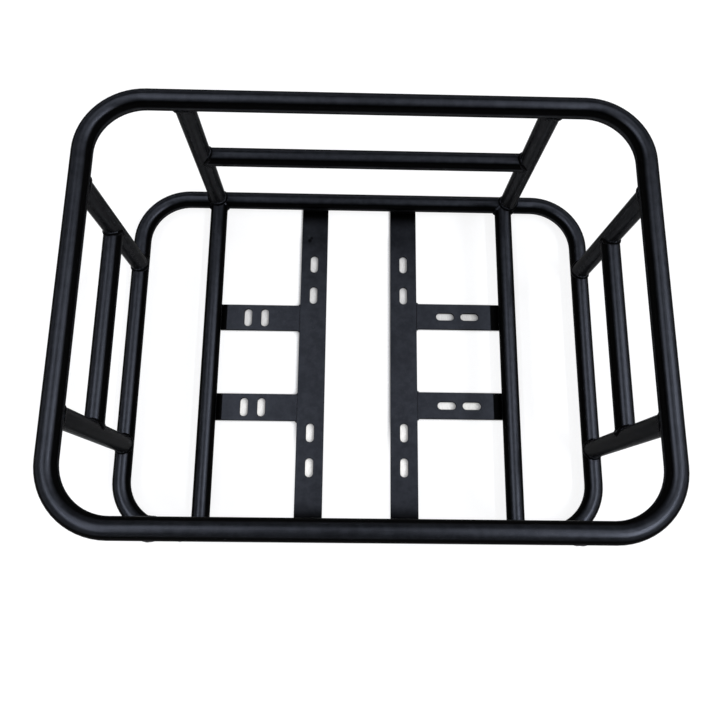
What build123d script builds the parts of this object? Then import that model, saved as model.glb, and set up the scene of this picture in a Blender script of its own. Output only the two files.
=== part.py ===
"""Open tubular cargo basket: a rim and a base ring bent from round tube, joined by uprights and
mid-height rails, with slotted flats under the base that bolt it to a carrier.

Millimetres, +Z up. X runs along the long side and Y from front (-) to back (+). The origin is
on the underside of the flats, below the middle of the basket.
"""
from build123d import *
import os

os.makedirs("parts", exist_ok=True)

# --- driving dimensions --------------------------------------------------------------------
# Tube frame
outer_length = 522.0  # along X, over the tubes
outer_width = 396.0  # along Y, over the tubes
ring_to_rim = 197.0  # height between the centrelines of base ring and rim
bend_radius = 53.0  # corner bends of ring and rim, on the centreline
tube_diameter = 19.0
tube_wall = 1.2
long_wall_upright_spacing = 338.0  # between the two uprights of the front or back wall
long_wall_shift_x = 1.8  # these uprights and their rail sit a little right of the middle
short_wall_upright_spacing = 205.0  # between the two uprights of the left or right wall
short_wall_shift_y = 3.3  # these uprights and their rail sit a little back of the middle
rail_rise = 98.5  # from the base ring's centreline up to the rails'
base_tube_spacing = 332.0  # between the two straight tubes across the base
fit_up_gap = 0.1  # root gap left in every welded joint

# Slotted flats under the base
flat_width = 30.0
flat_thickness = 3.0
flat_edge_radius = 0.5  # rolled edge of the flat stock
flat_reach = 6.0  # how far a flat runs on past the centreline of the tube above its end
bar_spacing = 103.4  # between the centrelines of the two long bars
plate_spacing = 103.4  # between the centrelines of the front and back plates
bars_shift_x = -2.5  # the pair of bars sits a little left of the basket's centre
left_bar_slots_shift_y = -3.0  # the bars' slots sit a little forward of the middle
right_bar_slots_shift_y = -2.0
left_plates_shift_y = -3.0  # the left plates too, but the right plates a little back of it
right_plates_shift_y = 1.2

# Bolt slots
slot_width = 8.5
slot_length = 20.5
bar_slot_pitch = 38.0  # between the two slots of a pair
bar_pair_spacing = 197.0  # between the middles of a bar's two pairs
left_slot_pitch = 19.0  # slots side by side on the left plates
left_slot_offset = 64.1  # from the bar's centreline out to the middle of the pair
right_slot_pitch = 28.0  # slots end to end on the right plates
right_slot_offset = 61.7  # and on the right

# --- derived places ------------------------------------------------------------------------
tube_radius = tube_diameter / 2
bore_radius = tube_radius - tube_wall
cope_radius = tube_radius + fit_up_gap
half_length = outer_length / 2 - tube_radius  # centreline of the left and right sides
half_width = outer_width / 2 - tube_radius  # centreline of the front and back sides
ring_z = flat_thickness + fit_up_gap + tube_radius
rim_z = ring_z + ring_to_rim
rail_z = ring_z + rail_rise
long_wall_left_x = long_wall_shift_x - long_wall_upright_spacing / 2
long_wall_right_x = long_wall_shift_x + long_wall_upright_spacing / 2
short_wall_back_y = short_wall_shift_y + short_wall_upright_spacing / 2
short_wall_front_y = short_wall_shift_y - short_wall_upright_spacing / 2
base_tube_x = base_tube_spacing / 2
left_bar_x = bars_shift_x - bar_spacing / 2
right_bar_x = bars_shift_x + bar_spacing / 2
UPRIGHT_PLACES = {
    "back_wall_upright_left": (long_wall_left_x, half_width),
    "back_wall_upright_right": (long_wall_right_x, half_width),
    "front_wall_upright_left": (long_wall_left_x, -half_width),
    "front_wall_upright_right": (long_wall_right_x, -half_width),
    "left_wall_upright_back": (-half_length, short_wall_back_y),
    "left_wall_upright_front": (-half_length, short_wall_front_y),
    "right_wall_upright_back": (half_length, short_wall_back_y),
    "right_wall_upright_front": (half_length, short_wall_front_y),
}


# --- shapes shared by the pieces -----------------------------------------------------------
def bent_bar(height, radius, mode=Mode.ADD):
    """Round bar along the basket's rounded outline, its centreline at one height."""
    with BuildLine(Plane.XY.offset(height)) as centreline:
        Polyline(
            (-half_length, -half_width),
            (half_length, -half_width),
            (half_length, half_width),
            (-half_length, half_width),
            close=True,
        )
        fillet(centreline.vertices(), radius=bend_radius)
    front_side = centreline.edges().filter_by(Axis.X).sort_by(Axis.Y)[0]
    with BuildSketch(Plane(origin=front_side @ 0.5, z_dir=front_side % 0.5)) as section:
        Circle(radius)
    sweep(section.sketch, path=centreline.wire(), mode=mode)


def straight_bar(plane, length, radius, mode=Mode.ADD):
    """Round bar along the plane's normal, its middle at the plane's origin."""
    with BuildSketch(plane) as section:
        Circle(radius)
    extrude(section.sketch, amount=length / 2, both=True, mode=mode)


def cope_over_uprights():
    """Clear the ends of a tube that is welded to the sides of the uprights."""
    for x, y in UPRIGHT_PLACES.values():
        middle = Plane(origin=(x, y, ring_z + ring_to_rim / 2))
        straight_bar(middle, ring_to_rim, cope_radius, mode=Mode.SUBTRACT)


def slotted_flat(x_limits, y_limits, slot_places, slot_angle):
    """Flat bar on the bottom plane with rolled edges and a bolt slot at each place."""
    with BuildPart() as flat:
        with BuildSketch(Plane.XY):
            with Locations((sum(x_limits) / 2, sum(y_limits) / 2)):
                Rectangle(abs(x_limits[1] - x_limits[0]), abs(y_limits[1] - y_limits[0]))
            with Locations(*slot_places):
                SlotOverall(slot_length, slot_width, rotation=slot_angle, mode=Mode.SUBTRACT)
        extrude(amount=flat_thickness)
        by_height = flat.edges().group_by(Axis.Z)
        fillet(by_height[0] + by_height[-1], radius=flat_edge_radius)
    return flat.part


# --- bent rings ----------------------------------------------------------------------------
with BuildPart() as rim:
    bent_bar(rim_z, tube_radius)
    bent_bar(rim_z, bore_radius, mode=Mode.SUBTRACT)
rim.part.label = "rim"
export_step(rim.part, "parts/rim.step")

with BuildPart() as base_ring:
    bent_bar(ring_z, tube_radius)
    bent_bar(ring_z, bore_radius, mode=Mode.SUBTRACT)
base_ring.part.label = "base_ring"
export_step(base_ring.part, "parts/base_ring.step")

# --- uprights, coped over the base ring and under the rim ----------------------------------
for name, (x, y) in UPRIGHT_PLACES.items():
    with BuildPart() as upright:
        middle = Plane(origin=(x, y, ring_z + ring_to_rim / 2))
        straight_bar(middle, ring_to_rim, tube_radius)
        straight_bar(middle, ring_to_rim, bore_radius, mode=Mode.SUBTRACT)
        bent_bar(ring_z, cope_radius, mode=Mode.SUBTRACT)
        bent_bar(rim_z, cope_radius, mode=Mode.SUBTRACT)
    upright.part.label = name
    export_step(upright.part, f"parts/{name}.step")

# --- rails between the uprights of each wall -----------------------------------------------
RAILS = {
    "back_wall_rail": (
        (long_wall_shift_x, half_width), (1, 0, 0), long_wall_upright_spacing,
    ),
    "front_wall_rail": (
        (long_wall_shift_x, -half_width), (1, 0, 0), long_wall_upright_spacing,
    ),
    "left_wall_rail": (
        (-half_length, short_wall_shift_y), (0, 1, 0), short_wall_upright_spacing,
    ),
    "right_wall_rail": (
        (half_length, short_wall_shift_y), (0, 1, 0), short_wall_upright_spacing,
    ),
}
for name, ((x, y), direction, length) in RAILS.items():
    with BuildPart() as rail:
        middle = Plane(origin=(x, y, rail_z), z_dir=direction)
        straight_bar(middle, length, tube_radius)
        straight_bar(middle, length, bore_radius, mode=Mode.SUBTRACT)
        cope_over_uprights()
    rail.part.label = name
    export_step(rail.part, f"parts/{name}.step")

# --- straight tubes across the base, from the ring's front side to its back side -----------
for name, x in {"base_tube_left": -base_tube_x, "base_tube_right": base_tube_x}.items():
    with BuildPart() as base_tube:
        middle = Plane(origin=(x, 0, ring_z), z_dir=(0, 1, 0))
        straight_bar(middle, 2 * half_width, tube_radius)
        straight_bar(middle, 2 * half_width, bore_radius, mode=Mode.SUBTRACT)
        bent_bar(ring_z, cope_radius, mode=Mode.SUBTRACT)
        cope_over_uprights()
    base_tube.part.label = name
    export_step(base_tube.part, f"parts/{name}.step")

# --- long slotted bars under the base, slots along Y ---------------------------------------
bar_end_y = half_width + flat_reach
BARS = {
    "mount_bar_left": (left_bar_x, left_bar_slots_shift_y),
    "mount_bar_right": (right_bar_x, right_bar_slots_shift_y),
}
for name, (x, slots_shift_y) in BARS.items():
    bar_slot_rows = [
        slots_shift_y + pair * bar_pair_spacing / 2 + slot * bar_slot_pitch / 2
        for pair in (-1, 1)
        for slot in (-1, 1)
    ]
    mount_bar = slotted_flat(
        x_limits=(x - flat_width / 2, x + flat_width / 2),
        y_limits=(-bar_end_y, bar_end_y),
        slot_places=[(x, y) for y in bar_slot_rows],
        slot_angle=90,
    )
    mount_bar.label = name
    export_step(mount_bar, f"parts/{name}.step")

# --- short slotted plates from each bar out to the base tube beside it ---------------------
for row, side_of_middle in {"front": -1, "back": 1}.items():
    y = left_plates_shift_y + side_of_middle * plate_spacing / 2
    left_pair_x = left_bar_x - left_slot_offset
    mount_plate_left = slotted_flat(
        x_limits=(-base_tube_x - flat_reach, left_bar_x - flat_width / 2 - fit_up_gap),
        y_limits=(y - flat_width / 2, y + flat_width / 2),
        slot_places=[(left_pair_x + side * left_slot_pitch / 2, y) for side in (-1, 1)],
        slot_angle=90,
    )
    mount_plate_left.label = f"mount_plate_left_{row}"
    export_step(mount_plate_left, f"parts/mount_plate_left_{row}.step")

    y = right_plates_shift_y + side_of_middle * plate_spacing / 2
    right_pair_x = right_bar_x + right_slot_offset
    mount_plate_right = slotted_flat(
        x_limits=(right_bar_x + flat_width / 2 + fit_up_gap, base_tube_x + flat_reach),
        y_limits=(y - flat_width / 2, y + flat_width / 2),
        slot_places=[(right_pair_x + side * right_slot_pitch / 2, y) for side in (-1, 1)],
        slot_angle=0,
    )
    mount_plate_right.label = f"mount_plate_right_{row}"
    export_step(mount_plate_right, f"parts/mount_plate_right_{row}.step")
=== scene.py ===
import math
import random

import bmesh
import bpy
from mathutils import Matrix, Vector


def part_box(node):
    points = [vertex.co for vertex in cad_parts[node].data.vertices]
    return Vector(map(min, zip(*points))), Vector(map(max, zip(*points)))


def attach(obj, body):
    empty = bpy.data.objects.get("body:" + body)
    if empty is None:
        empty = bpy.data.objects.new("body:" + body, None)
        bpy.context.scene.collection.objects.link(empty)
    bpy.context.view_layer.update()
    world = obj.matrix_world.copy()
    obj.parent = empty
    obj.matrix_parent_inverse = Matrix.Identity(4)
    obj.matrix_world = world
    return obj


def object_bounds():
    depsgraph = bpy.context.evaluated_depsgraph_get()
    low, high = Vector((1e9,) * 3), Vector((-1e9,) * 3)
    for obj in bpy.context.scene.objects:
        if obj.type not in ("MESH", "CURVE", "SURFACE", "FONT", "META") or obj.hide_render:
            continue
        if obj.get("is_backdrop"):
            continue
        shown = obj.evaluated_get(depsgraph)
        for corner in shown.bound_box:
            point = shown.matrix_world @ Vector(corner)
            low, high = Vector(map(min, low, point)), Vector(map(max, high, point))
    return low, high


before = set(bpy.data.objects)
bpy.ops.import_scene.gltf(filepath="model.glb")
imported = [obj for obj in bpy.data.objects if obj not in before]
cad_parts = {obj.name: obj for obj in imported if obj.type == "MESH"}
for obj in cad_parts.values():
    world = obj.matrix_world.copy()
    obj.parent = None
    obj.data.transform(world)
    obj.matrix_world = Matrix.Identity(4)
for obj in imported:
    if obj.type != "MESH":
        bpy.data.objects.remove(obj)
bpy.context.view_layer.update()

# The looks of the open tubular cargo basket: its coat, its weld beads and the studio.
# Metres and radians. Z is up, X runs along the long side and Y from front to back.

MM = 0.001
X, Y, Z = Vector((1, 0, 0)), Vector((0, 1, 0)), Vector((0, 0, 1))

# ------------------------------------------------------------------ camera
FOCAL_PIXELS = 713.673
FRAME_PIXELS = 720
SENSOR_WIDTH = 36.0
CAMERA_PLACE = Vector((-14.802, -193.850, 782.144)) * MM
# turned about X first, then Y, then Z
CAMERA_TILT, CAMERA_ROLL, CAMERA_YAW = 0.244096, -0.0212721, 0.0094454
CLIP = (0.05, 50.0)

# ------------------------------------------------------------------ studio
LIGHT_TINT = (0.95, 0.98, 1.06)
LAMP_HEIGHT = 8.0
LAMPS = {                    # place along X and Y, size along X and Y, radiance
    "tube_lamp_left": (-4.16, -1.60, 0.56, 7.60, 23.0),
    "tube_lamp_right_front": (4.88, -3.50, 0.56, 3.80, 70.0),
    "tube_lamp_right_back": (4.88, 0.30, 0.56, 3.80, 29.0),
    "ceiling_left": (-2.24, 1.20, 2.24, 5.60, 3.1),
    "ceiling_right": (2.48, 1.20, 2.72, 5.60, 2.1),
    "side_window": (9.92, 2.60, 7.36, 2.80, 6.5),
}
ROOM_TINT, ROOM_LEVEL = (0.95, 0.98, 1.04, 1.0), 0.05
FLOOR_GLOW, FLOOR_ALBEDO, FLOOR_BOUNCE = 0.84, 0.20, 0.80
SHADE_SIDE = (0.643, 0.0, 0.766)     # the side that closes the floor's light off
SHADE_RAMP = (0.42, 0.80, 0.26)      # closed, open, and the light left where closed
SHADE_REACH = (4.0 * MM, 7.0 * MM)   # out by the ring, and among the flats
SHADE_FADE = (0.140, 0.156)          # from the middle: where one reach becomes the other
SHADE_SAMPLES = 8
SHADE_START = (-0.110, -0.040)       # along Y: the shade fades out towards the front here
SLOT_LIGHT = (-0.130, 0.060, 1.0, 0.56)   # front, back, and the light left in their slots
SLOT_SHADE_TINT, SLOT_GRAIN = (1.0, 0.985, 0.955), (700, 160, 100)   # tint of the painted shade in the slots, and its grain per metre
SLOT_NOISE = (1.0, 3.0, 0.6)         # scale on the grain, detail and roughness
SLOT_STREAKS = (0.3, 0.7, 0.88, 1.10)   # low and high noise, and the light there
FLOOR_RADIUS, SWEEP_RADIUS, WALL_HEIGHT, FLOOR_DROP = 5.0, 1.3, 3.8, 0.0006
FLOOR_RINGS = (0.6, 1.6)             # radii of the rings of vertices inside the flat floor
WALL_FADE = (1.5, 2.8, 1.0, 0.06)    # between these heights its white falls off to grey
SWEEP_STEPS, FLOOR_SIDES = 12, 96

# -------------------------------------------------------------------- coat
DARK, LIGHT = (0.0228, 0.0244, 0.0290), (0.0293, 0.0313, 0.0368)   # the two mottle tones
PAINTED_SLOPE_SHADE = (0.0020, 0.0020, 0.0021)  # painted shade: a dark band on faces between level and upright
PAINTED_SIDE_TINT = (1.05, 1.0, 0.90)          # painted reflection tint: the upright faces are a little less blue
PAINTED_END_SHADE = (0.0015, 0.0015, 0.0016)    # painted shade where a flat runs under a tube
PAINTED_PIT_SHADE = (0.0060, 0.0065, 0.0075)        # painted shade in a dimple
WORN_TONE = (0.060, 0.062, 0.066)      # scratches and dust
UPRIGHT_FACES, LEVEL_FACES = (0.05, 0.30), (0.70, 0.95)   # of the normal's Z
SCRATCH_SHARE, DUST_SHARE = 0.35, 0.6
MOTTLE_ROUGH, SCRATCH_ROUGH = 0.025, 0.08
METAL_SHARE, GLOSS_LEVEL, EDGE_TINT = 0.85, 0.10, (0.24, 0.24, 0.24, 1.0)
# noises: scale per metre, detail and roughness; the streaks take theirs from a grain
CLOUD, HANDLED, MOTTLE = (11.0, 3.0, 0.5), (23.0, 4.0, 0.65), (140.0, 3.0, 0.6)
PEEL, SPECKS, STREAKS = (620.0, 2.0, 0.45), (1500.0, 1.0, 0.3), (1.0, 4.0, 0.7)
# where something starts to count and where it counts in full, and then its results
HANDLED_RANGE, SCRATCH_RANGE, SPECK_RANGE = (0.54, 0.68), (0.66, 0.72), (0.68, 0.76)
MOTTLE_RANGE, DUST_LEVEL = (0.30, 0.70), (0.2, 0.9)   # dust lies on level faces
DUST_CLOUD, ROUGH_CLOUD = (0.40, 0.62, 0.15, 1.0), (0.32, 0.68, 0.32, 0.36)
PEEL_DEPTH, DIMPLE_DEPTH, STREAK_DEPTH = 0.022 * MM, 0.12 * MM, 0.35
DIMPLE_FLOOR = 0.2                     # the flat share of a dimple's radius
TUBE_GRAIN, WELD_GRAIN = (160, 160, 900), (700, 700, 700)   # per metre, along X, Y and Z
BAR_GRAIN, PLATE_GRAIN = (900, 26, 900), (26, 900, 900)
BAR_DIMPLES = [(Vector((-58.0, 146.9, 3.0)) * MM, 2.6 * MM),   # middle and radius
               (Vector((-60.1, 143.8, 3.0)) * MM, 3.3 * MM)]
BAR_END_SHADE = ("Y", 0.156, 0.176)         # axis, and where the end's painted shade starts and is full
# the same painted shade at the plates' ends, per side: axis, start and full
PLATE_END_SHADE = {"left": ("X", 0.1513, 0.1523), "right": ("X", 0.1484, 0.1494)}

# ------------------------------------------------------------------- welds
RIPPLE = 1.2 * MM            # spacing of the ripples along a bead
RINGS_PER_RIPPLE = 4
BEAD_SIDES = 10
RIPPLE_DEPTH = 0.22          # of the bead's height
RIPPLE_RISE = 0.12           # the share of a ripple that climbs
RIPPLE_BACK = 0.8 * RIPPLE   # how far a ripple's edges trail behind its middle
WANDER, SWAY, SWELL = 0.4 * MM, 0.22, 0.10   # sideways drift, and change in size
WAVES, WAVE_SIZE, WAVE_SPREAD = 4, 0.035, (0.7, 1.3)
FEWEST_RINGS, FEWEST_RIPPLES = 6, 3
START_LUMP, START_REACH = 0.22, 1.6 * MM     # where a closed bead meets its own start
END_TAPER, END_TIP = 1.4, 0.03               # of an open bead's width, and of its size
SADDLE_SAMPLES = 240
SADDLE_WIDTH = 2.4 * MM      # half the width of a bead round a tube's end
SADDLE_HEIGHT = 1.05 * MM
SADDLE_SOFTNESS = 0.36       # rounds the saddle's sharp turn where the tubes are flush
SADDLE_SHARPNESS = 8         # how closely a bead follows the higher of two tubes
CROSSING_FADE = 0.35
CORNER_LIFT, FLUSH_LIFT = 0.75 * MM, -0.42 * MM
FILLET_WIDTH, FILLET_HEIGHT = 2.2 * MM, 1.5 * MM
FILLET_OUT, FILLET_UP, FILLET_SLOPE = 6.3 * MM, 1.5 * MM, math.radians(38)
FILLET_INSET = 1.2 * MM
DOT_SHAPE = Vector((1.7, 1.7, 1.25)) * MM
DOT_LUMPS, DOT_LUMP_SIZE, DOT_LUMP_POWER = 7, (-0.2, 0.25), 4
DOT_SPLITS, DOT_DROP = 3, 1.3 * MM
FIRST_SEED = 11


# ---------------------------------------------------------------- materials
class Nodes:
    """A short way to write a material's node tree."""

    def __init__(self, material):
        material.use_nodes = True
        self.tree = material.node_tree
        self.tree.nodes.clear()

    def put(self, target, source):
        """Link a socket to the target, or write a plain value in it."""
        if isinstance(source, bpy.types.NodeSocket):
            self.tree.links.new(source, target)
        else:
            target.default_value = source

    def add(self, kind, links=None, **values):
        node = self.tree.nodes.new(kind)
        for key, value in values.items():
            setattr(node, key, value)
        for socket, source in (links or {}).items():
            self.put(node.inputs[socket], source)
        return node

    def noise(self, vector, scale, detail, roughness):
        return self.add("ShaderNodeTexNoise", {
            "Vector": vector, "Scale": scale, "Detail": detail,
            "Roughness": roughness}).outputs["Fac"]

    def ramp(self, value, low, high, to_low=0.0, to_high=1.0):
        return self.add("ShaderNodeMapRange", {
            "Value": value, "From Min": low, "From Max": high, "To Min": to_low,
            "To Max": to_high}, interpolation_type="SMOOTHSTEP").outputs["Result"]

    def math(self, operation, a, b=0.0):
        return self.add("ShaderNodeMath", {0: a, 1: b}, operation=operation).outputs[0]

    def vector(self, operation, links, output="Vector"):
        return self.add("ShaderNodeVectorMath", links, operation=operation).outputs[output]

    def split(self, vector):
        return self.add("ShaderNodeSeparateXYZ", {"Vector": vector}).outputs

    def scaled(self, vector, scale):
        return self.add("ShaderNodeMapping", {"Vector": vector, "Scale": scale}).outputs[0]

    def blend(self, factor, a, b):
        """Mix two colours. Several sockets share a name, so these go by number."""
        node = self.add("ShaderNodeMix", {"Factor": factor}, data_type="RGBA")
        for socket, value in ((node.inputs[6], a), (node.inputs[7], b)):
            linked = isinstance(value, bpy.types.NodeSocket)
            self.put(socket, value if linked else (*value, 1.0))
        return node.outputs[2]

    def bump(self, distance, height, **links):
        return self.add("ShaderNodeBump", {
            "Strength": 1.0, "Distance": distance, "Height": height, **links}).outputs[0]


def coat_material(name, grain, dimples=(), ends=None):
    """Satin black powder coat: orange peel, faint handling marks, settled dust, painted
    shade on the sloping faces, at a flat's ends under a tube and in dimples, and a painted
    reflection tint on the upright faces.
    """
    material = bpy.data.materials.new(name)
    n = Nodes(material)
    place = n.add("ShaderNodeTexCoord").outputs["Object"]
    up = n.split(n.add("ShaderNodeNewGeometry").outputs["Normal"])["Z"]
    cloud = n.noise(place, *CLOUD)
    mottle = n.noise(place, *MOTTLE)
    peel = n.noise(place, *PEEL)
    streaks = n.noise(n.scaled(place, grain), *STREAKS)
    specks = n.noise(place, *SPECKS)
    handled = n.ramp(n.noise(place, *HANDLED), *HANDLED_RANGE)
    scratch = n.math("MULTIPLY", n.ramp(streaks, *SCRATCH_RANGE), handled)
    dust = n.math("MULTIPLY", n.ramp(specks, *SPECK_RANGE), n.ramp(cloud, *DUST_CLOUD))
    dust = n.math("MULTIPLY", dust, n.ramp(up, *DUST_LEVEL))

    tone = n.blend(n.ramp(mottle, *MOTTLE_RANGE), DARK, LIGHT)
    marks = n.math("MAXIMUM", n.math("MULTIPLY", scratch, SCRATCH_SHARE),
                   n.math("MULTIPLY", dust, DUST_SHARE))
    tone = n.blend(marks, tone, WORN_TONE)
    # painted reflection tint on the upright faces
    upright = n.ramp(up, *UPRIGHT_FACES, 1.0, 0.0)
    tone = n.blend(upright, tone, n.vector("MULTIPLY", {0: tone, 1: PAINTED_SIDE_TINT}))
    # painted shade: faces that are neither level nor upright are darkened
    not_slope = n.math("MAXIMUM", n.ramp(up, *LEVEL_FACES), upright)
    tone = n.blend(not_slope, PAINTED_SLOPE_SHADE, tone)

    roughness = n.ramp(cloud, *ROUGH_CLOUD)
    roughness = n.math("ADD", roughness,
                       n.ramp(mottle, *MOTTLE_RANGE, -MOTTLE_ROUGH, MOTTLE_ROUGH))
    roughness = n.math("ADD", roughness, n.math("MULTIPLY", scratch, SCRATCH_ROUGH))
    bump = n.bump(PEEL_DEPTH, n.math("ADD", peel, n.math("MULTIPLY", streaks, STREAK_DEPTH)))
    for spot, reach in dimples:
        away = n.vector("DISTANCE", {0: place, 1: spot}, "Value")
        pit = n.ramp(away, DIMPLE_FLOOR * reach, reach)
        bump = n.bump(DIMPLE_DEPTH, pit, Normal=bump)
        # painted shade in the pit
        tone = n.blend(pit, PAINTED_PIT_SHADE, tone)
    # painted shade at a flat's ends, where it runs under a tube
    if ends:
        axis, start, full = ends
        out = n.math("ABSOLUTE", n.split(place)[axis])
        tone = n.blend(n.ramp(out, start, full), tone, PAINTED_END_SHADE)
    shader = n.add("ShaderNodeBsdfPrincipled", {
        "Base Color": tone, "Roughness": roughness, "Normal": bump,
        "Metallic": METAL_SHARE, "Specular IOR Level": GLOSS_LEVEL,
        "Specular Tint": EDGE_TINT})
    n.add("ShaderNodeOutputMaterial", {"Surface": shader.outputs[0]})
    return material


def floor_material():
    """Pale paper. Straight views and reflections see its full white, and its shadows."""
    material = bpy.data.materials.new("paper_floor")
    n = Nodes(material)
    rays = n.add("ShaderNodeLightPath").outputs
    seen = n.math("MAXIMUM", rays["Is Camera Ray"],
                  n.math("MAXIMUM", rays["Is Glossy Ray"], rays["Is Transmission Ray"]))
    place = n.add("ShaderNodeTexCoord").outputs["Object"]
    flat = n.split(place)

    # the shade beside the tubes, on one side of them only
    away = n.math("MAXIMUM", n.math("ABSOLUTE", flat["X"]), n.math("ABSOLUTE", flat["Y"]))
    reach = n.ramp(away, *SHADE_FADE, SHADE_REACH[1], SHADE_REACH[0])
    side = n.add("ShaderNodeCombineXYZ", dict(zip("XYZ", SHADE_SIDE))).outputs[0]
    near = n.add("ShaderNodeAmbientOcclusion", {
        "Distance": reach, "Normal": side}, samples=SHADE_SAMPLES).outputs["AO"]
    closed, clear, shade_left = SHADE_RAMP
    shade = n.ramp(near, closed, clear, shade_left, 1.0)
    beside = n.math("MAXIMUM", shade, n.ramp(flat["Y"], *SHADE_START, 1.0, 0.0))

    # the painted shade on the paper where it is seen through the slots of the flats
    streaks = n.noise(n.scaled(place, SLOT_GRAIN), *SLOT_NOISE)
    inside = n.math("MULTIPLY", shade, n.ramp(flat["Y"], *SLOT_LIGHT))
    inside = n.math("MULTIPLY", inside, n.ramp(streaks, *SLOT_STREAKS))
    in_slot = 0.0
    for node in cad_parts:
        if node.startswith("mount_"):
            low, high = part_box(node)
            off = n.vector("SUBTRACT", {0: place, 1: (low + high) / 2})
            off = n.vector("ABSOLUTE", {0: off})
            off = n.split(n.vector("SUBTRACT", {0: off, 1: (high - low) / 2}))
            under = n.math("LESS_THAN", n.math("MAXIMUM", off["X"], off["Y"]), 0.0)
            in_slot = n.math("MAXIMUM", in_slot, under)

    grey = n.add("ShaderNodeCombineXYZ", dict.fromkeys("XYZ", beside)).outputs[0]
    light = n.blend(in_slot, grey, n.vector("SCALE", {0: SLOT_SHADE_TINT, "Scale": inside}))
    strength = n.math("MULTIPLY", n.ramp(flat["Z"], *WALL_FADE), FLOOR_GLOW)
    glow = n.add("ShaderNodeEmission", {"Color": light, "Strength": strength}).outputs[0]
    paper, pale = (n.add("ShaderNodeBsdfDiffuse", {
        "Color": (albedo, albedo, albedo, 1)}).outputs[0]
        for albedo in (FLOOR_ALBEDO, FLOOR_BOUNCE))
    lit = n.add("ShaderNodeAddShader", {0: glow, 1: paper}).outputs[0]
    both = n.add("ShaderNodeMixShader", {0: seen, 1: pale, 2: lit}).outputs[0]
    n.add("ShaderNodeOutputMaterial", {"Surface": both})
    return material


# ------------------------------------------------------------------ meshes
def add_piece(name, points, faces, material):
    """Make the piece, turn its faces outwards and let it ride on the basket."""
    mesh = bpy.data.meshes.new(name)
    mesh.from_pydata([tuple(p) for p in points], [], faces)
    mesh.materials.append(material)
    made = bmesh.new()
    made.from_mesh(mesh)
    bmesh.ops.recalc_face_normals(made, faces=made.faces)
    made.to_mesh(mesh)
    made.free()
    mesh.polygons.foreach_set("use_smooth", [True] * len(mesh.polygons))
    piece = bpy.data.objects.new(name, mesh)
    bpy.context.scene.collection.objects.link(piece)
    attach(piece, "root")


def even_steps(points, outs, closed, step):
    """The same line again, with points an equal distance apart."""
    line = list(zip(points, outs))
    if closed:
        line.append(line[0])
    lengths = [0.0]
    for (a, _), (b, _) in zip(line, line[1:]):
        lengths.append(lengths[-1] + (b - a).length)
    count = max(FEWEST_RINGS, round(lengths[-1] / step))
    stops = [lengths[-1] * i / count for i in range(count if closed else count + 1)]
    result, k = [], 0
    for s in stops:
        while k < len(lengths) - 2 and lengths[k + 1] < s:
            k += 1
        t = (s - lengths[k]) / max(lengths[k + 1] - lengths[k], 1e-12)
        result.append((line[k][0].lerp(line[k + 1][0], t),
                       line[k][1].lerp(line[k + 1][1], t).normalized(), s))
    return result, lengths[-1]


def bead(name, points, outs, lifts, closed, width, height, seed, material):
    """A weld bead with overlapping ripples, swept along a line on the joint."""
    draw = random.Random(seed)
    waves = [(draw.uniform(0, math.tau), draw.uniform(*WAVE_SPREAD))
             for _ in range(WAVES)]
    start = draw.uniform(0.0, 1.0)
    steps, total = even_steps(points, outs, closed, RIPPLE / RINGS_PER_RIPPLE)
    count = len(steps)
    ripples = max(FEWEST_RIPPLES, round(total / RIPPLE))
    sway = [draw.uniform(-SWAY, SWAY) for _ in range(ripples + 1)]
    swell = [1.0 + draw.uniform(-SWELL, SWELL) for _ in range(ripples + 1)]
    verts, faces = [], []
    for i, (place, out, s) in enumerate(steps):
        before = steps[(i - 1) % count if closed else max(i - 1, 0)][0]
        after = steps[(i + 1) % count if closed else min(i + 1, count - 1)][0]
        run = (after - before).normalized()
        out = (out - run * out.dot(run)).normalized()
        side = run.cross(out)
        turn = s / total * math.tau
        slow = sum(math.sin(turn * (k + 1) * 2 + p) * w for k, (p, w) in enumerate(waves))
        slow = 1.0 + WAVE_SIZE * slow
        at = s / total * ripples
        index, part = int(at) % ripples, at - int(at)
        saw = (1.0 - part) if part > RIPPLE_RISE else part / RIPPLE_RISE
        size = slow * (swell[index] * (1 - part) + swell[(index + 1) % ripples] * part)
        end = 1.0
        if closed:
            gap = abs((s / total - start + 0.5) % 1.0 - 0.5) * total
            size *= 1.0 + START_LUMP * math.exp(-(gap / START_REACH) ** 2)
        else:
            end = min(s, total - s) / (END_TAPER * width)
            end = math.sqrt(max(0.0, 1 - (1 - min(end, 1.0)) ** 2))
            end = end * (1 - END_TIP) + END_TIP
        wide = width * size * end
        tall = height * size * (1.0 + RIPPLE_DEPTH * (saw - 0.5) * 2) * end
        lift = lifts[min(int(s / total * len(lifts)), len(lifts) - 1)]
        drift = sway[index] * WANDER
        for k in range(BEAD_SIDES):
            a = math.tau * k / BEAD_SIDES
            across = math.cos(a)
            back = -across * across * RIPPLE_BACK * end
            verts.append(place + out * (lift + tall * math.sin(a))
                         + side * (wide * across + drift) + run * back)
    for i in range(count if closed else count - 1):
        a, b = i * BEAD_SIDES, ((i + 1) % count) * BEAD_SIDES
        for k in range(BEAD_SIDES):
            j = (k + 1) % BEAD_SIDES
            faces.append((a + k, a + j, b + j, b + k))
    if not closed:
        faces.append(tuple(range(BEAD_SIDES)))
        faces.append(tuple(range((count - 1) * BEAD_SIDES, count * BEAD_SIDES)))
    add_piece(name, verts, faces, material)


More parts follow.
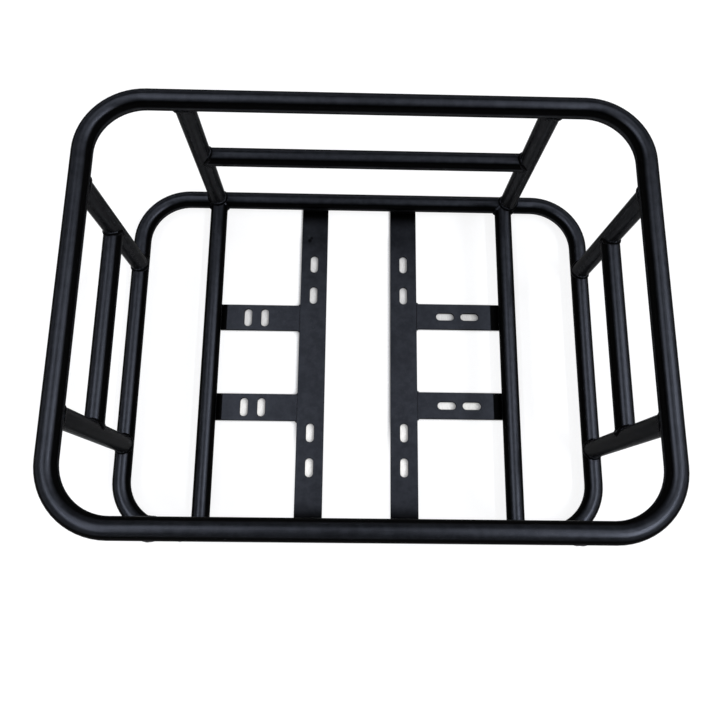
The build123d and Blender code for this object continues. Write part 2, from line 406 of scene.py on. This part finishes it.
def saddle_bead(name, joint, branch, main, radius, seed, material, crossing=None):
    """The bead round a tube's end, where it meets a tube of the same diameter.

    branch is the way that the tube leaves the joint, and main the other tube's
    direction. crossing is a third tube that leaves the main one under the end: its
    direction, and how far along the main tube its axis lies from the joint.
    """
    third = branch.cross(main)
    points, outs, lifts = [], [], []
    for i in range(SADDLE_SAMPLES):
        a = math.tau * i / SADDLE_SAMPLES
        c, s = math.cos(a), math.sin(a)
        own = main * c + third * s
        rise = math.sqrt(c * c + SADDLE_SOFTNESS ** 2) / math.sqrt(1 + SADDLE_SOFTNESS ** 2)
        other = third * s + branch * abs(c)
        if crossing:
            way, offset = crossing
            across = c - offset / radius
            over = math.sqrt(max(0.0, 1 - across * across)) if abs(across) < 1 else 0.0
            over *= min(1.0, max(0.0, own.dot(way) / CROSSING_FADE))
            low, high = rise ** SADDLE_SHARPNESS, over ** SADDLE_SHARPNESS
            rise = (low + high) ** (1 / SADDLE_SHARPNESS)
            other = other * low + (main * across + branch * over) * high
        other = other.normalized()
        points.append(joint + own * radius + branch * (radius * rise))
        outs.append((own + other).normalized())
        corner = math.acos(max(-1.0, min(1.0, own.dot(other)))) / (math.pi / 2)
        lifts.append(FLUSH_LIFT + (CORNER_LIFT - FLUSH_LIFT) * min(corner, 1.0))
    bead(name, points, outs, lifts, True, SADDLE_WIDTH, SADDLE_HEIGHT, seed, material)


def fillet_bead(name, middle, along, inward, length, seed, material):
    """The straight bead in the groove between a tube and the flat under it."""
    half = length / 2 - FILLET_INSET
    out = (inward * math.cos(FILLET_SLOPE) + Z * math.sin(FILLET_SLOPE)).normalized()
    centre = middle + inward * FILLET_OUT + Z * FILLET_UP
    points = [centre - along * half, centre + along * half]
    bead(name, points, [out, out], [0.0], False, FILLET_WIDTH, FILLET_HEIGHT,
         seed, material)


def weld_dot(name, place, seed, material):
    """A small weld dot in the corner between a plate and a bar."""
    draw = random.Random(seed)
    made = bmesh.new()
    bmesh.ops.create_icosphere(made, subdivisions=DOT_SPLITS, radius=1.0)
    lumps = [(Vector((draw.gauss(0, 1), draw.gauss(0, 1), draw.gauss(0, 1))).normalized(),
              draw.uniform(*DOT_LUMP_SIZE)) for _ in range(DOT_LUMPS)]
    points = []
    for v in made.verts:
        grow = 1.0 + sum(g * max(0.0, v.co.dot(d)) ** DOT_LUMP_POWER
                         for d, g in lumps)
        points.append(place + Vector(v.co[k] * grow * DOT_SHAPE[k] for k in range(3)))
    faces = [tuple(v.index for v in f.verts) for f in made.faces]
    made.free()
    add_piece(name, points, faces, material)


def middle_of(node):
    low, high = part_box(node)
    return (low + high) / 2


# ------------------------------------------------- the coats on the CAD pieces
tube_coat = coat_material("tube_coat_satin", TUBE_GRAIN)
bar_coat = coat_material("flat_coat_bar", BAR_GRAIN, BAR_DIMPLES, BAR_END_SHADE)
plate_coats = {side: coat_material(f"flat_coat_plate_{side}", PLATE_GRAIN, ends=ends)
               for side, ends in PLATE_END_SHADE.items()}
weld_coat = coat_material("weld_coat", WELD_GRAIN)

for node_name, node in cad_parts.items():
    coat = tube_coat
    if node_name.startswith("mount_bar"):
        coat = bar_coat
    elif node_name.startswith("mount_plate"):
        coat = plate_coats[node_name.split("_")[2]]
    for held in node.material_slots:
        held.material = coat

# ------------------------------------------------------------ the weld beads
rim_low, rim_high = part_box("rim")
TUBE_RADIUS = (rim_high.z - rim_low.z) / 2
rim_z, ring_z = middle_of("rim").z, middle_of("base_ring").z
reach_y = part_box("base_ring")[1].y - TUBE_RADIUS
seed = FIRST_SEED

for wall, run in (("back", X), ("front", X), ("left", Y), ("right", Y)):
    ends = ("left", "right") if run is X else ("back", "front")
    rail = middle_of(f"{wall}_wall_rail")
    for end in ends:
        post = middle_of(f"{wall}_wall_upright_{end}")
        name = f"weld_{wall}_wall_upright_{end}"
        foot, head = Vector((post.x, post.y, ring_z)), Vector((post.x, post.y, rim_z))
        crossing = None
        if run is X:
            way = -Y if wall == "back" else Y
            crossing = (way, middle_of(f"base_tube_{end}").x - post.x)
        saddle_bead(name + "_foot", foot, Z, run, TUBE_RADIUS, seed, weld_coat, crossing)
        saddle_bead(name + "_head", head, -Z, run, TUBE_RADIUS, seed + 1, weld_coat)
        joint = Vector((post.x, post.y, rail.z))
        inward = run if (rail - joint).dot(run) > 0 else -run
        saddle_bead(f"weld_{wall}_wall_rail_{end}", joint, inward, Z, TUBE_RADIUS,
                    seed + 2, weld_coat)
        seed += 3

for side in ("left", "right"):
    tube = middle_of(f"base_tube_{side}")
    for end, sign in (("back", 1), ("front", -1)):
        joint = Vector((tube.x, sign * reach_y, ring_z))
        saddle_bead(f"weld_base_tube_{side}_{end}", joint, -Y * sign, X, TUBE_RADIUS,
                    seed, weld_coat)
        low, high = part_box(f"mount_bar_{side}")
        under = Vector(((low.x + high.x) / 2, sign * reach_y, high.z))
        fillet_bead(f"weld_mount_bar_{side}_{end}", under, X, -Y * sign,
                    high.x - low.x, seed + 1, weld_coat)
        low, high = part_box(f"mount_plate_{side}_{end}")
        inward = X if side == "left" else -X
        under = Vector((tube.x, (low.y + high.y) / 2, high.z))
        fillet_bead(f"weld_mount_plate_{side}_{end}", under, Y, inward,
                    high.y - low.y, seed + 2, weld_coat)
        meet = high.x if side == "left" else low.x
        for edge, y in (("back", high.y), ("front", low.y)):
            place = Vector((meet, y, high.z - DOT_DROP))
            weld_dot(f"weld_dot_{side}_{end}_{edge}", place, seed + 3, weld_coat)
            seed += 1
        seed += 4

# ------------------------------------------------- floor, backdrop and lamps
profile = [(r, 0.0) for r in (0.0, *FLOOR_RINGS, FLOOR_RADIUS)]   # radius and height
for i in range(1, SWEEP_STEPS + 1):
    a = math.pi / 2 * i / SWEEP_STEPS
    profile.append((FLOOR_RADIUS + SWEEP_RADIUS * math.sin(a),
                    SWEEP_RADIUS * (1 - math.cos(a))))
profile.append((FLOOR_RADIUS + SWEEP_RADIUS, WALL_HEIGHT))
verts, faces = [(0.0, 0.0, -FLOOR_DROP)], []
for r, z in profile[1:]:
    for k in range(FLOOR_SIDES):
        a = math.tau * k / FLOOR_SIDES
        verts.append((r * math.cos(a), r * math.sin(a), z - FLOOR_DROP))
for k in range(FLOOR_SIDES):
    faces.append((0, 1 + k, 1 + (k + 1) % FLOOR_SIDES))
for i in range(len(profile) - 2):
    a, b = 1 + i * FLOOR_SIDES, 1 + (i + 1) * FLOOR_SIDES
    for k in range(FLOOR_SIDES):
        j = (k + 1) % FLOOR_SIDES
        faces.append((a + k, b + k, b + j, a + j))
floor_mesh = bpy.data.meshes.new("studio_floor")
floor_mesh.from_pydata(verts, [], faces)
floor_mesh.materials.append(floor_material())
floor_mesh.polygons.foreach_set("use_smooth", [True] * len(floor_mesh.polygons))
floor = bpy.data.objects.new("studio_floor", floor_mesh)
bpy.context.scene.collection.objects.link(floor)
floor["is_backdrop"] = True

for lamp_name, (x, y, size_x, size_y, radiance) in LAMPS.items():
    lamp_data = bpy.data.lights.new(lamp_name, "AREA")   # it faces straight down
    lamp_data.shape = "RECTANGLE"
    lamp_data.size, lamp_data.size_y = size_x, size_y
    lamp_data.energy = radiance * math.pi * size_x * size_y
    lamp_data.color = LIGHT_TINT
    lamp = bpy.data.objects.new(lamp_name, lamp_data)
    lamp.location = (x, y, LAMP_HEIGHT)
    bpy.context.scene.collection.objects.link(lamp)

world = bpy.data.worlds.new("studio_room")
world.use_nodes = True
room = world.node_tree.nodes["Background"]
room.inputs["Color"].default_value = ROOM_TINT
room.inputs["Strength"].default_value = ROOM_LEVEL
bpy.context.scene.world = world

# ------------------------------------------------------------------ camera
camera_data = bpy.data.cameras.new("photo_camera")
camera_data.sensor_width = SENSOR_WIDTH
camera_data.lens = SENSOR_WIDTH * FOCAL_PIXELS / FRAME_PIXELS
camera_data.clip_start, camera_data.clip_end = CLIP
camera = bpy.data.objects.new("photo_camera", camera_data)
turn = (Matrix.Rotation(CAMERA_YAW, 4, "Z") @ Matrix.Rotation(CAMERA_ROLL, 4, "Y")
        @ Matrix.Rotation(CAMERA_TILT, 4, "X"))
camera.matrix_world = Matrix.Translation(CAMERA_PLACE) @ turn
bpy.context.scene.collection.objects.link(camera)
bpy.context.scene.camera = camera
bpy.context.scene.view_settings.view_transform = "Standard"

bpy.context.view_layer.update()
low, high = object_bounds()
